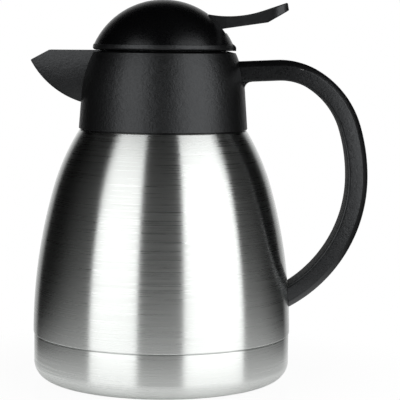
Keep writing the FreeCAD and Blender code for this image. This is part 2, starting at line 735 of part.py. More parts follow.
def side_edge(inset):
    """A test for the edges of the loop on its two sides, a given way in from the outside."""
    radii = [number(f"{name} - ({inset})")
             for name in ("low_radius", "side_radius", "corner_radius", "top_radius")]
    half = number("handle_width / 2")
    arm_z = loop_path(inset, "low_turn", "sleeve_radius")[-2][1]
    level = number(arm_z)

    def wanted(edge):
        middle = edge.valueAt((edge.FirstParameter + edge.LastParameter) / 2)
        if abs(abs(middle.y) - half) > TINY:
            return False
        if isinstance(edge.Curve, Part.Circle):
            return any(abs(edge.Curve.Radius - radius) < TINY for radius in radii)
        start = max((vertex.Point for vertex in edge.Vertexes), key=lambda point: point.x)
        return abs(start.z - level) < TINY
    return wanted


CHANNEL_END = "skin_at_screw + screw_bite + plastic"


def make_handle():
    body = new_body("handle")
    extrude(body, "XZ_Plane", [loop("cover_thick", "handle_thick")], "handle_width")
    round_edges(body, "handle_round", side_edge("handle_thick"))
    foot_start = "(skin_at_arm + arm_foot / 8)"
    foot_end = f"({foot_start} + arm_foot)"
    under = f"arm_floor + (waist_radius - {foot_end}) * arm_fall"
    extrude(body, "XZ_Plane", [[
        ("sleeve_radius", "arm_floor - arm_foot"),
        (foot_start, "arm_floor - arm_foot", "arm_foot", RIGHT),
        (foot_end, under),
        (foot_end, f"{under} + channel_floor / 2"),
        ("sleeve_radius", "arm_floor + channel_floor / 2"),
    ]], "handle_width - 2 * handle_round")
    channel = loop("cover_thick - plastic", "handle_thick - channel_floor", "channel_turn", CHANNEL_END)
    extrude(body, "XZ_Plane", [channel], "channel_width", "Pocket")
    trim_to_collar(body)
    trim_to_shell(body)
    socket = rectangle("bracket_root - bracket_reach", "bracket_z - bracket_height / 2 - fit_gap",
                       "bracket_root + bracket_reach + fit_gap",
                       "bracket_z + bracket_height / 2 + fit_gap")
    extrude(body, "XZ_Plane", [socket], "bracket_width + 2 * fit_gap", "Pocket")
    holes = [(f"{side} * screw_spread / 2", "screw_z", "screw_radius + fit_gap") for side in (-1, 1)]
    extrude(body, "YZ_Plane", holes, "screw_bite + handle_thick", "Pocket", "One side",
            "skin_at_screw + screw_bite")


def make_handle_cover():
    body = new_body("handle_cover")
    extrude(body, "XZ_Plane", [loop("0", "cover_thick - fit_gap")], "handle_width")
    bevel_edges(body, "cover_bevel", side_edge("0"))
    round_edges(body, "cover_edge", side_edge("cover_bevel"))
    rib = loop("cover_thick / 2", "cover_thick + cover_rib", "channel_turn - 2",
               CHANNEL_END + " + cover_rib")
    extrude(body, "XZ_Plane", [rib], "channel_width - 4 * fit_gap")
    trim_to_collar(body)
    trim_to_shell(body)


def make_handle_bracket():
    body = new_body("handle_bracket")
    tongue = rectangle("bracket_root - bracket_reach", "bracket_z - bracket_height / 2",
                       "bracket_root + bracket_reach", "bracket_z + bracket_height / 2")
    extrude(body, "XZ_Plane", [tongue], "bracket_width")
    trim_to_shell(body)


def make_handle_screws():
    along_x = FreeCAD.Rotation(FreeCAD.Vector(0, 1, 0), 90)
    pieces = (
        ("screw_head", "screw_head_thick", "head_x - screw_head_thick"),
        ("screw_radius", "skin_at_screw + screw_bite - head_x - fit_gap", "head_x"),
    )
    screws = []
    for side in (-1, 1):
        cylinders = []
        for radius, length, start in pieces:
            cylinder = doc.addObject("Part::Cylinder", "screw_piece")
            cylinder.Placement = FreeCAD.Placement(FreeCAD.Vector(), along_x)
            cylinder.setExpression("Radius", full(radius))
            cylinder.setExpression("Height", full(length))
            cylinder.setExpression("Placement.Base.x", full(start))
            cylinder.setExpression("Placement.Base.y", full(f"{side} * screw_spread / 2"))
            cylinder.setExpression("Placement.Base.z", full("screw_z"))
            cylinders.append(cylinder)
        screw = doc.addObject("Part::Fuse", "screw")
        screw.Base, screw.Tool = cylinders
        screws.append(screw)
    pair = doc.addObject("Part::Compound", "handle_screws")
    pair.Links = screws


def make_lid_dome():
    body = new_body("lid_dome")
    turn(body, [
        ("dome_bore", "dome_rim"),
        ("dome_radius - dome_tuck", "dome_rim", "(dome_band ^ 2 + dome_tuck ^ 2) / (2 * dome_tuck)", LEFT),
        ("dome_radius", "dome_edge", "dome_sphere", LEFT),
        ("0", "dome_top"),
        ("0", "dome_top - dome_wall", "dome_hollow", RIGHT),
    ])
    slot = rectangle("pivot_x - 2 * ear_radius", "arm_bottom - press_room",
                     "lever_tip_x", "arm_top + slot_margin")
    extrude(body, "XZ_Plane", [slot], "lever_width + 2 * side_gap", "Pocket")
    tab_top = "dome_rim + tab_height"
    extrude(body, "XZ_Plane", [[
        ("dome_radius - dome_wall / 2", "dome_rim"),
        ("dome_radius + tab_out", "dome_rim"),
        ("dome_radius + tab_out", "dome_rim + tab_height / 2", "tab_height", LEFT),
        (f"sqrt(dome_sphere ^ 2 - ({tab_top} - dome_z) ^ 2)", tab_top),
        (f"sqrt(dome_sphere ^ 2 - ({tab_top} - dome_z) ^ 2) - dome_wall / 2", tab_top),
    ]], "tab_width")


def make_stopper():
    body = new_body("stopper")
    groove = "plug_radius - groove_depth"
    turn(body, [
        ("seat_radius", "plug_bottom"),
        ("plug_radius", "plug_bottom"),
        ("plug_radius", "groove_bottom"),
        (groove, "groove_bottom"),
        (groove, "groove_top"),
        ("plug_radius", "groove_top"),
        ("plug_radius", "stopper_step"),
        ("stopper_radius", "stopper_step"),
        ("stopper_radius", "flange_bottom"),
        ("flange_radius", "flange_bottom"),
        ("flange_radius", "flange_top"),
        ("plate_radius", "flange_top"),
        ("plate_radius", "flange_bottom"),
        ("stopper_bore", "flange_bottom"),
        ("stopper_bore", "stopper_shelf"),
        ("plug_bore", "stopper_shelf"),
        ("plug_bore", "plug_bottom + floor_thick"),
        ("seat_radius", "plug_bottom + floor_thick"),
    ])
    window = rectangle("-window_width / 2", "stopper_shelf + window_margin",
                       "window_width / 2", "flange_bottom - window_margin")
    extrude(body, "YZ_Plane", [window], "throat_radius", "Pocket", "One side")


def make_valve_guide():
    body = new_body("valve_guide")
    tube = "guide_bore + guide_wall"
    turn(body, [
        ("guide_bore", "flange_bottom - guide_drop"),
        (tube, "flange_bottom - guide_drop"),
        (tube, "flange_bottom"),
        ("plate_radius - fit_gap", "flange_bottom"),
        ("plate_radius - fit_gap", "flange_top"),
        (tube, "flange_top"),
        (tube, "guide_top"),
        ("guide_bore", "guide_top"),
    ])
    ear = [
        ("pivot_x - ear_radius", "flange_top - flange_thick / 2"),
        ("pivot_x + ear_radius", "flange_top - flange_thick / 2"),
        ("pivot_x + ear_radius", "pivot_z", "ear_radius", LEFT),
        ("pivot_x", "pivot_z + ear_radius", "ear_radius", LEFT),
        ("pivot_x - ear_radius", "pivot_z"),
    ]
    extrude(body, "XZ_Plane", [ear], "ears_width")
    between = rectangle("pivot_x - 2 * ear_radius", "flange_top",
                        "pivot_x + 2 * ear_radius", "pivot_z + 2 * ear_radius")
    extrude(body, "XZ_Plane", [between], "lever_width + 2 * side_gap", "Pocket")
    pin = ("pivot_x", "pivot_z", "pin_radius + run_gap")
    extrude(body, "XZ_Plane", [pin], "ears_width + 2 * ear_thick", "Pocket")


def make_valve():
    stem = new_body("valve_stem")
    head_top = "head_bottom + stem_head_thick"
    foot = "washer_bottom - clip_thick"
    turn(stem, [
        ("0", foot),
        ("stem_radius", foot),
        ("stem_radius", "head_bottom"),
        ("stem_head", "head_bottom"),
        ("stem_head", head_top),
        ("0", head_top),
    ])
    plug = new_body("valve_plug")
    spring_seat = "spring_radius + 2 * spring_wire"
    turn(plug, [
        ("stem_bore", "valve_bottom"),
        ("washer_radius", "valve_bottom"),
        ("washer_radius", "valve_bottom + valve_thick / 2"),
        (spring_seat, "valve_top"),
        ("stem_bore", "valve_top"),
    ])
    ring("valve_washer", "stem_bore", "washer_radius", "washer_bottom", "valve_bottom")
    ring("stem_clip", "stem_bore", "clip_radius", foot, "washer_bottom")


def make_valve_spring():
    """A coil of half turns, each a flat arc that leans from one side of the stem to the other."""
    radius = number("spring_radius")
    wire = number("spring_wire")
    bottom = number("valve_top + fit_gap") + wire / 2
    top = number("flange_bottom - fit_gap") - wire / 2
    halves = 2 * int(number("spring_turns"))
    climb = (top - bottom) / halves
    leaning_radius = math.hypot(radius, climb / 2)
    arcs = []
    for half in range(halves):
        side = 1 if half % 2 == 0 else -1
        low = bottom + half * climb
        start = FreeCAD.Vector(side * radius, 0, low)
        middle = FreeCAD.Vector(0, side * leaning_radius, low + climb / 2)
        end = FreeCAD.Vector(-side * radius, 0, low + climb)
        arcs.append(Part.Arc(start, middle, end).toShape())
    round_wire = Part.Circle(FreeCAD.Vector(radius, 0, bottom), FreeCAD.Vector(0, 1, 0), wire / 2)
    section = Part.Face(Part.Wire(round_wire.toShape()))
    spring = doc.addObject("Part::Feature", "valve_spring")
    spring.Shape = Part.Wire(arcs).makePipe(section)


def on_thumb_rim(edge):
    """A test for the edges round the top of the lever outside the dome and round its end."""
    ends = [vertex.Point for vertex in edge.Vertexes]
    middle = edge.valueAt((edge.FirstParameter + edge.LastParameter) / 2)
    inside = min(point.x for point in ends) < number("taper_start") - TINY
    upright = all(abs(a - b) < TINY for a, b in zip(ends[0][:2], ends[-1][:2]))
    low = middle.z < number("arm_bottom + 0.8 * arm_thick")
    across = abs(middle.y) < 1 and middle.x < number("lever_tip_x - 2 * tip_lean")
    return not (inside or upright or low or across)


def make_lever():
    body = new_body("lever")
    tip_bottom = "lever_tip_z - tip_thick"
    nose_top = "nose_z + fork_nose"
    extrude(body, "XZ_Plane", [[
        ("0", "nose_z - fork_nose"),
        ("pivot_x", "pivot_z - ear_radius"),
        ("arm_under_x", "arm_bottom"),
        ("lever_tip_x - bend_back", f"{tip_bottom} - bend_drop"),
        ("lever_tip_x", tip_bottom),
        ("lever_tip_x - tip_lean", "lever_tip_z"),
        ("lever_tip_x - thumb_flat", "pivot_z + thumb_rise", "arm_sag", RIGHT),
        ("arm_x", "arm_top"),
        ("pivot_x - ear_radius", "pivot_z + ear_radius"),
        ("1.4 * stem_head", nose_top),
        ("0", nose_top, "fork_nose", LEFT),
        ("-fork_nose", "nose_z", "fork_nose", LEFT),
    ]], "2 * thumb_width")
    end = "(lever_tip_x + 1)"
    sides = []
    for side in (-1, 1):
        fork, arm, thumb = (f"{side} * {name} / 2" for name in ("fork_width", "lever_width", "thumb_width"))
        sides.append([
            ("-2 * fork_nose", fork),
            ("pivot_x - 2 * ear_radius", fork),
            ("pivot_x - ear_radius", arm),
            ("taper_start", arm),
            (f"{end} - thumb_corner", thumb, "thumb_corner", LEFT),
            (end, f"{side} * (thumb_width / 2 - thumb_corner)"),
        ])
    near, far = sides
    far = [corner[:2] for corner in far]
    far[-1] += ("thumb_corner", LEFT)
    plan = near + far[::-1]
    around = rectangle("-2 * thumb_width", "-2 * thumb_width", f"{end} + thumb_width", "2 * thumb_width")
    through = "2 * (lever_tip_z + thumb_width)"
    extrude(body, "XY_Plane", [around, plan], through, "Pocket")
    round_edges(body, "lever_round", on_thumb_rim)
    gap = "(stem_radius + fork_gap)"
    fork = rectangle("-thumb_width", f"-{gap}", f"{gap} + fork_gap", gap)
    extrude(body, "XY_Plane", [fork], through, "Pocket")
    pin = ("pivot_x", "pivot_z", "pin_radius + run_gap")
    extrude(body, "XZ_Plane", [pin], "2 * lever_width", "Pocket")


def make_lever_pin():
    pin = doc.addObject("Part::Cylinder", "lever_pin")
    pin.Placement = FreeCAD.Placement(FreeCAD.Vector(), FreeCAD.Rotation(FreeCAD.Vector(1, 0, 0), 90))
    pin.setExpression("Radius", full("pin_radius"))
    pin.setExpression("Height", full("ears_width"))
    pin.setExpression("Placement.Base.x", full("pivot_x"))
    pin.setExpression("Placement.Base.y", full("ears_width / 2"))
    pin.setExpression("Placement.Base.z", full("pivot_z"))


NODES = (
    "base_cup", "outer_shell", "inner_liner", "vacuum_base", "getter", "vacuum_seal",
    "collar", "neck_gasket", "handle", "handle_cover", "handle_bracket", "handle_screws",
    "stopper_gasket", "lid_dome", "stopper", "valve_guide", "stem_seal", "valve_spring", "lever_pin",
    "lever", "valve_stem", "valve_plug", "valve_washer", "stem_clip",
)


def build():
    fill_sheet()
    make_base_cup()
    make_outer_shell()
    make_inner_liner()
    make_vacuum_base()
    make_getter()
    make_vacuum_seal()
    make_collar()
    ring("neck_gasket", "ledge_bore", "neck_radius", "neck_top", "ledge_bottom")
    make_handle()
    make_handle_cover()
    make_handle_bracket()
    make_handle_screws()
    make_lid_dome()
    make_stopper()
    ring("stopper_gasket", "plug_radius - groove_depth + fit_gap", "neck_bore - seat_gap",
         "groove_bottom + fit_gap", "groove_top - fit_gap")
    make_valve_guide()
    ring("stem_seal", "stem_bore", "guide_bore + guide_wall", "guide_top", "guide_top + stem_seal_thick")
    make_valve()
    make_valve_spring()
    make_lever()
    make_lever_pin()
    doc.recompute()


def check():
    for item in doc.Objects:
        if {"Invalid", "Error"} & set(item.State):
            raise RuntimeError(f"{item.Label} failed: {item.State}")
    for name in NODES:
        shape = doc.getObjectsByLabel(name)[0].Shape
        if shape.isNull() or not shape.isValid():
            raise RuntimeError(f"{name} has no valid solid")


def export():
    os.makedirs("parts", exist_ok=True)
    for name in NODES:
        doc.getObjectsByLabel(name)[0].Shape.exportStep(f"parts/{name}.step")


build()
check()
export()
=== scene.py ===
import bpy
import bmesh
import json
import math
from mathutils import Matrix, Vector


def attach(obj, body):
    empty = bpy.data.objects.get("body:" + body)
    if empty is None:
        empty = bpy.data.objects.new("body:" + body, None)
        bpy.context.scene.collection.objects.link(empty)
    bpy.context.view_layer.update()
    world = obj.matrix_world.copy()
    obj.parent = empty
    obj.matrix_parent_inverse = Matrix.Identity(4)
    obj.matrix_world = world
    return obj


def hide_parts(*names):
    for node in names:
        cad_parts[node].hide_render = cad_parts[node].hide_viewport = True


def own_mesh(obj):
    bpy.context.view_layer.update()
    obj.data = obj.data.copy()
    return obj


# Looks of the vacuum coffee pot: steel, plastic and silicone, fine turned skins, light and camera.
# Metres, in the frame of the solids: +Z up, spout towards -X, handle towards +X.

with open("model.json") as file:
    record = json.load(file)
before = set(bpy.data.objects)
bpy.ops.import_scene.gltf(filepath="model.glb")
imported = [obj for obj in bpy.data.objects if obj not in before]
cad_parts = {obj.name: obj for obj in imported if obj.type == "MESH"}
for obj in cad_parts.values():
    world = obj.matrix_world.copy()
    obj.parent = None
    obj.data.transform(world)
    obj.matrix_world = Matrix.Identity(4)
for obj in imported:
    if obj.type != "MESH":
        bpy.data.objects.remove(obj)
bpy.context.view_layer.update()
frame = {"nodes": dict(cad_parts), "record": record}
nodes = frame["nodes"]

MM = 0.001
SEGMENTS = 192
ON_AXIS = 1e-6


# Small helpers for node trees

# Most values of a noise texture lie between these
NOISE_LOW, NOISE_HIGH = 0.3, 0.7


class Tree:
    """The nodes of a material or of the world, added one by one."""

    def __init__(self, owner):
        owner.use_nodes = True
        self.tree = owner.node_tree
        self.tree.nodes.clear()

    def add(self, kind, **settings):
        node = self.tree.nodes.new(kind)
        for name, value in settings.items():
            setattr(node, name, value)
        return node

    def link(self, source, target):
        self.tree.links.new(source, target)

    def put(self, value, socket):
        """A fixed number, or a link from another node."""
        if isinstance(value, (int, float)):
            socket.default_value = value
        else:
            self.link(value, socket)

    def math(self, operation, first, second=0.0):
        node = self.add("ShaderNodeMath", operation=operation)
        self.put(first, node.inputs[0])
        self.put(second, node.inputs[1])
        return node.outputs["Value"]

    def mix(self, share, first, second):
        """A number between two others."""
        node = self.add("ShaderNodeMix")
        self.put(share, node.inputs[0])
        self.put(first, node.inputs[2])
        self.put(second, node.inputs[3])
        return node.outputs[0]

    def ranged(self, value, start, end, low, high, easing="LINEAR"):
        """A value that runs from start to end, made to run from low to high."""
        node = self.add("ShaderNodeMapRange", interpolation_type=easing)
        limits = {"From Min": start, "From Max": end, "To Min": low, "To Max": high}
        for name, number in limits.items():
            node.inputs[name].default_value = number
        self.link(value, node.inputs["Value"])
        return node.outputs["Result"]

    def mirrored_rays(self, path):
        """One for rays that come by way of metal or glass."""
        return self.math("MAXIMUM", path["Is Glossy Ray"], path["Is Transmission Ray"])


class Shader(Tree):
    """A material with a principled surface and textures placed by the object's own coordinates."""

    def __init__(self, name):
        self.material = bpy.data.materials.new(name)
        super().__init__(self.material)
        self.surface = self.add("ShaderNodeBsdfPrincipled")
        self.output = self.add("ShaderNodeOutputMaterial")
        self.link(self.surface.outputs["BSDF"], self.output.inputs["Surface"])
        self.place = self.add("ShaderNodeTexCoord").outputs["Object"]

    def set(self, **values):
        """Numbers and colours that are the same all over the surface."""
        for name, value in values.items():
            self.surface.inputs[name.replace("_", " ")].default_value = value

    def feed(self, name, value):
        """A texture into one of the inputs of the surface."""
        self.link(value, self.surface.inputs[name])

    def noise(self, scale, detail=3.0, roughness=0.5, vector=None):
        node = self.add("ShaderNodeTexNoise")
        node.inputs["Scale"].default_value = scale
        node.inputs["Detail"].default_value = detail
        node.inputs["Roughness"].default_value = roughness
        self.link(self.place if vector is None else vector, node.inputs["Vector"])
        return node.outputs["Fac"]

    def streaks(self, across, up, detail, roughness):
        """Noise drawn out into level lines, with one scale across and another along Z."""
        mapping = self.add("ShaderNodeMapping")
        mapping.inputs["Scale"].default_value = (across, across, up)
        self.link(self.place, mapping.inputs["Vector"])
        return self.noise(1.0, detail, roughness, mapping.outputs["Vector"])

    def spread(self, noise, low, high):
        return self.ranged(noise, NOISE_LOW, NOISE_HIGH, low, high)

    def tint(self, noise, low, high):
        """A colour between two others."""
        ramp = self.add("ShaderNodeValToRGB")
        stops = ((NOISE_LOW, low), (NOISE_HIGH, high))
        for element, (position, colour) in zip(ramp.color_ramp.elements, stops):
            element.position = position
            element.color = (*colour, 1.0)
        self.link(noise, ramp.inputs["Fac"])
        return ramp.outputs["Color"]

    def bump(self, height, strength, distance):
        node = self.add("ShaderNodeBump")
        node.inputs["Strength"].default_value = strength
        node.inputs["Distance"].default_value = distance
        self.link(height, node.inputs["Height"])
        self.feed("Normal", node.outputs["Normal"])

    def distance(self, point, weights=(1.0, 1.0, 1.0)):
        """How far a place is from a point, each way times its weight."""
        offset = self.add("ShaderNodeVectorMath", operation="SUBTRACT")
        offset.inputs[1].default_value = point
        self.link(self.place, offset.inputs[0])
        weighed = self.add("ShaderNodeVectorMath", operation="MULTIPLY")
        weighed.inputs[1].default_value = weights
        self.link(offset.outputs["Vector"], weighed.inputs[0])
        length = self.add("ShaderNodeVectorMath", operation="LENGTH")
        self.link(weighed.outputs["Vector"], length.inputs[0])
        return length.outputs["Value"]


# Steel

QUARTER_TURN = 0.25
FINE_LINES = {"across": 20.0, "up": 2000.0, "detail": 4.0, "roughness": 0.65}
COARSE_LINES = {"across": 11.0, "up": 1200.0, "detail": 3.0, "roughness": 0.6}
FINE_SHARE = 0.75
BRUSHED_TINTS = (0.67, 0.685, 0.675), (0.76, 0.78, 0.76)
BRUSHED_ROUGH = 0.22, 0.375
SMUDGE = 0.015
RINGS = {"across": 10.0, "up": 900.0, "detail": 3.0, "roughness": 0.6}


def brushed_steel():
    """Steel brushed round the axis: fine level lines and highlights drawn out up and down."""
    shader = Shader("brushed_steel")
    shader.set(Metallic=1.0, Anisotropic=1.0, Anisotropic_Rotation=QUARTER_TURN)
    tangent = shader.add("ShaderNodeTangent", direction_type="RADIAL", axis="Z")
    shader.feed("Tangent", tangent.outputs["Tangent"])
    fine = shader.math("MULTIPLY", shader.streaks(**FINE_LINES), FINE_SHARE)
    coarse = shader.math("MULTIPLY", shader.streaks(**COARSE_LINES), 1.0 - FINE_SHARE)
    lines = shader.math("ADD", fine, coarse)
    shader.feed("Base Color", shader.tint(lines, *BRUSHED_TINTS))
    smudges = shader.spread(shader.noise(scale=18.0), -SMUDGE, SMUDGE)
    shader.feed("Roughness", shader.math("ADD", shader.spread(lines, *BRUSHED_ROUGH), smudges))
    shader.bump(lines, strength=0.06, distance=0.00012)
    return shader.material


def plain_steel(name, low, high, rough):
    """Drawn or turned steel with faint rings."""
    smoother, rougher = 0.05, 0.07
    shader = Shader(name)
    shader.set(Metallic=1.0)
    rings = shader.streaks(**RINGS)
    cloud = shader.noise(scale=30.0, detail=2.0)
    shader.feed("Base Color", shader.tint(cloud, low, high))
    shader.feed("Roughness", shader.spread(rings, rough - smoother, rough + rougher))
    shader.bump(rings, strength=0.08, distance=0.00015)
    return shader.material


# Plastic and silicone

BLACK = (0.0010, 0.0010, 0.0011), (0.0015, 0.0015, 0.0017)
LID_BLACK = (0.0005, 0.0005, 0.0006), (0.0008, 0.0008, 0.0010)
COOL_SHINE = (0.94, 0.97, 1.0, 1.0)
PATCHY, GRAINY = 0.03, 0.05
# How far a face is turned to Y where its dullness begins to fade, and where it is gone
SIDE_ON, FACE_ON = 0.2, 0.6
SILICONE_TINTS = (0.74, 0.74, 0.72), (0.84, 0.84, 0.82)


def moulded_plastic(name, tints, rough, shine, grain, depth, matt=0.0):
    """Black moulded plastic with a fine spark-eroded grain, duller by matt on faces turned from Y."""
    shader = Shader(name)
    shader.set(Specular_IOR_Level=shine, Specular_Tint=COOL_SHINE)
    pits = shader.noise(grain, roughness=0.6)
    cloud = shader.noise(scale=26.0)
    shader.feed("Base Color", shader.tint(cloud, *tints))
    patches = shader.spread(cloud, rough - PATCHY, rough + PATCHY)
    blur = shader.math("ADD", patches, shader.spread(pits, -GRAINY, GRAINY))
    if matt:
        facing = shader.add("ShaderNodeSeparateXYZ")
        shader.link(shader.add("ShaderNodeTexCoord").outputs["Normal"], facing.inputs["Vector"])
        towards = shader.math("ABSOLUTE", facing.outputs["Y"])
        blur = shader.math("ADD", blur, shader.ranged(towards, SIDE_ON, FACE_ON, matt, 0.0))
    shader.feed("Roughness", blur)
    swirl = shader.noise(grain / 3, detail=2.0)
    shader.bump(shader.math("ADD", pits, swirl), strength=0.8, distance=depth)
    return shader.material


def silicone():
    """Pale, slightly see-through rubber."""
    shader = Shader("silicone")
    shader.set(Subsurface_Weight=0.35, Subsurface_Scale=0.004)
    cloud = shader.noise(scale=60.0)
    shader.feed("Base Color", shader.tint(cloud, *SILICONE_TINTS))
    shader.feed("Roughness", shader.spread(cloud, low=0.45, high=0.56))
    shader.bump(shader.noise(scale=1500.0, detail=2.0), strength=0.1, distance=0.0001)
    return shader.material


MATERIALS = {
    "brushed_steel": brushed_steel(),
    "plain_steel": plain_steel("plain_steel", (0.56, 0.56, 0.57), (0.68, 0.68, 0.69), rough=0.34),
    "bright_steel": plain_steel("bright_steel", (0.66, 0.66, 0.68), (0.76, 0.76, 0.78), rough=0.2),
    "getter_metal": plain_steel("getter_metal", (0.36, 0.36, 0.37), (0.48, 0.48, 0.49), rough=0.55),
    "black_plastic": moulded_plastic(
        "black_plastic", BLACK, rough=0.38, shine=0.60, grain=900.0, depth=0.00016),
    "grip_plastic": moulded_plastic(
        "grip_plastic", BLACK, rough=0.31, shine=0.60, grain=900.0, depth=0.00010, matt=0.4),
    "lid_plastic": moulded_plastic(
        "lid_plastic", LID_BLACK, rough=0.27, shine=0.31, grain=1000.0, depth=0.00004),
    "silicone": silicone(),
}


def dress(piece, slot):
    piece.data.materials.clear()
    piece.data.materials.append(MATERIALS[slot])


# The lever has the finer grain of the handle
LOOKS = {"lever": "grip_plastic"}

for part in frame["record"]["subparts"]:
    dress(nodes[part["node"]], LOOKS.get(part["node"], part["material_slot"]))


# Fine meshes, turned round the axis or skinned over sections

def arc(centre_r, centre_z, radius, start, end, steps):
    """Points of an arc in a plane, angles in degrees from level outwards."""
    points = []
    for step in range(steps + 1):
        angle = math.radians(start + (end - start) * step / steps)
        points.append((centre_r + radius * math.cos(angle), centre_z + radius * math.sin(angle)))
    return points


def finish_piece(name, shape, slot, body, node, sharp, look):
    """Make a mesh under construction a piece that rides a body.

    It takes the place of a node if one is named, and has the material of its slot unless look
    names another. Edges bent by more than sharp degrees stay sharp.
    """
    bmesh.ops.recalc_face_normals(shape, faces=shape.faces)
    mesh = bpy.data.meshes.new(name)
    shape.to_mesh(mesh)
    shape.free()
    for face in mesh.polygons:
        face.use_smooth = True
    mesh.set_sharp_from_angle(angle=math.radians(sharp))
    piece = bpy.data.objects.new(name, mesh)
    bpy.context.scene.collection.objects.link(piece)
    dress(piece, look or slot)
    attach(piece, body)
    if node is not None:
        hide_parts(node)
    return piece


def turned(name, outline, slot, body, node=None, sharp=32.0, look=None):
    """A closed outline in millimetres spun round Z."""
    shape = bmesh.new()
    rings = []
    for r, z in outline:
        if r < ON_AXIS:
            rings.append([shape.verts.new((0, 0, z * MM))])
            continue
        ring = []
        for step in range(SEGMENTS):
            angle = 2 * math.pi * step / SEGMENTS
            ring.append(shape.verts.new((r * MM * math.cos(angle), r * MM * math.sin(angle), z * MM)))
        rings.append(ring)
    for low, high in zip(rings, rings[1:] + rings[:1]):
        if len(low) == 1 and len(high) == 1:
            continue
        for step in range(SEGMENTS):
            following = (step + 1) % SEGMENTS
            if len(low) == 1:
                shape.faces.new((low[0], high[following], high[step]))
            elif len(high) == 1:
                shape.faces.new((low[step], low[following], high[0]))
            else:
                shape.faces.new((low[step], low[following], high[following], high[step]))
    return finish_piece(name, shape, slot, body, node, sharp, look)


def skinned(name, sections, slot, body, node=None, sharp=24.0, look=None):
    """A solid through a row of closed sections with the same number of points, in millimetres."""
    shape = bmesh.new()
    rings = [[shape.verts.new((x * MM, y * MM, z * MM)) for x, y, z in section] for section in sections]
    for here, ahead in zip(rings, rings[1:]):
        count = len(here)
        for step in range(count):
            following = (step + 1) % count
            shape.faces.new((here[step], here[following], ahead[following], ahead[step]))
    shape.faces.new(rings[0])
    shape.faces.new(rings[-1])
    return finish_piece(name, shape, slot, body, node, sharp, look)


def rows_across(half_width, count=9):
    """Places from one side of the middle plane to the other, evenly spaced."""
    return [half_width * (2 * step / (count - 1) - 1) for step in range(count)]


def set_back(radius, y):
    """How far a round wall falls back beside the middle plane."""
    return radius - math.sqrt(radius ** 2 - y ** 2)


# Flask: sizes in millimetres, as in the solids

STEEL = 0.8
EDGE = 0.4
HAIR = 0.1
CUP, CUP_ROUND, FOOT, RECESS = 70.0, 9.0, 11.0, 2.0
# From the inside of the foot ring: outwards, and height
FOOT_CURVE = ((-1.5, 1.8), (-0.4, 0.45), (0.1, 0.12), (0.8, 0.0))
SEAM, SEAM_GAP, SKIRT, SKIRT_END = 25.1, 0.4, 69.1, 10.2
SHELL = 70.4
SHOULDER, SHOULDER_Z, SLOPE = 45.6, 135.5, 31.7
LOW_SWEEP, HIGH_SWEEP = 290.612, 125.010
NECK, NECK_START, NECK_TOP = 33.0, 141.0, 147.5


def bell(inset, start_z, steps=28):
    """The two sweeps of the flask from near the seam to the shoulder, moved in by a wall."""
    low_r = SHELL - LOW_SWEEP
    high_r = SHOULDER - HIGH_SWEEP * math.cos(math.radians(SLOPE))
    high_z = SHOULDER_Z - HIGH_SWEEP * math.sin(math.radians(SLOPE))
    lean = math.degrees(math.atan2(high_z - SEAM, high_r - low_r))
    first = math.degrees(math.asin((start_z - SEAM) / (LOW_SWEEP - inset)))
    lower = arc(low_r, SEAM, LOW_SWEEP - inset, first, lean, steps)
    upper = arc(high_r, high_z, HIGH_SWEEP - inset, lean, SLOPE, steps)
    return lower + upper[1:]


def make_shell():
    """The bell from the skirt inside the cup to the neck, with its wall."""
    outline = [(SKIRT - STEEL, SKIRT_END), (SKIRT, SKIRT_END), (SKIRT, SEAM)]
    outline += arc(SHELL - EDGE, SEAM + EDGE, EDGE, -90, 0, steps=3)
    outline += bell(0.0, SEAM + EDGE + HAIR)
    outline += [(NECK, NECK_START), (NECK, NECK_TOP - STEEL)]
    outline += [(NECK - STEEL, NECK_TOP - STEEL), (NECK - STEEL, NECK_START - STEEL / 2)]
    outline += bell(STEEL, SEAM + STEEL + 2 * HAIR)[::-1]
    outline += [(SKIRT - STEEL, SEAM + STEEL + HAIR)]
    turned("shell_skin", outline, "brushed_steel", "pot", "outer_shell")


def make_cup():
    """The cup below the seam, with its foot ring and the recess inside it."""
    top = SEAM - SEAM_GAP
    foot = CUP - CUP_ROUND
    ring = foot - FOOT
    outline = [(0.0, RECESS), (ring - RECESS, RECESS)]
    outline += [(ring + outwards, height) for outwards, height in FOOT_CURVE]
    outline += arc(foot, CUP_ROUND, CUP_ROUND, -90, 0, steps=14)
    outline += arc(CUP - EDGE, top - EDGE, EDGE, 0, 90, steps=4)
    outline += [(CUP - STEEL, top), (CUP - STEEL, CUP_ROUND)]
    outline += arc(foot, CUP_ROUND, CUP_ROUND - STEEL, 0, -90, steps=8)[1:]
    outline += [(ring, STEEL), (ring - RECESS, RECESS + STEEL), (0.0, RECESS + STEEL)]
    turned("cup_skin", outline, "brushed_steel", "pot", "base_cup")


# Handle: two strips swept round the loop, their sides leaning in towards the outside

GRIP_Z = 109.974
LOOP = (
    # end of the sweep in degrees, centre x and z, outside radius
    (0.0, 31.3, GRIP_Z, 80.2),
    (17.5, 12.0, GRIP_Z, 99.5),
    (60.0, 57.778, 124.408, 51.5),
    (92.8, 63.778, 134.8, 39.5),
)
LOOP_END = LOOP[-1][0]
LOOP_STEPS = 64
# Where on the loop its ends are searched for, and how far the first full section stands from the lower one
LOWER_OUT, LOWER_IN, ARM_REACH, CLEAR = -40.0, -75.0, 25.0, 1.5
HALVINGS = 40
HANDLE_THICK, COVER_THICK, PIECE_GAP = 11.0, 3.3, 0.1
HALF_INNER, HALF_SEAM, HALF_MIDDLE = 10.0, 8.95, 2.0
COLLAR_R, COLLAR_Z, COLLAR_SWEEP = -17.149, 152.420, 61.720


def on_loop(inset, way):
    """A point of the loop: degrees round its sweeps, then millimetres along the straight arm."""
    for end, x, z, radius in LOOP:
        if way <= end:
            break
    angle = math.radians(min(way, LOOP_END))
    beyond = max(way - LOOP_END, 0.0)
    x += (radius - inset) * math.cos(angle) - beyond * math.sin(angle)
    z += (radius - inset) * math.sin(angle) + beyond * math.cos(angle)
    return x, z


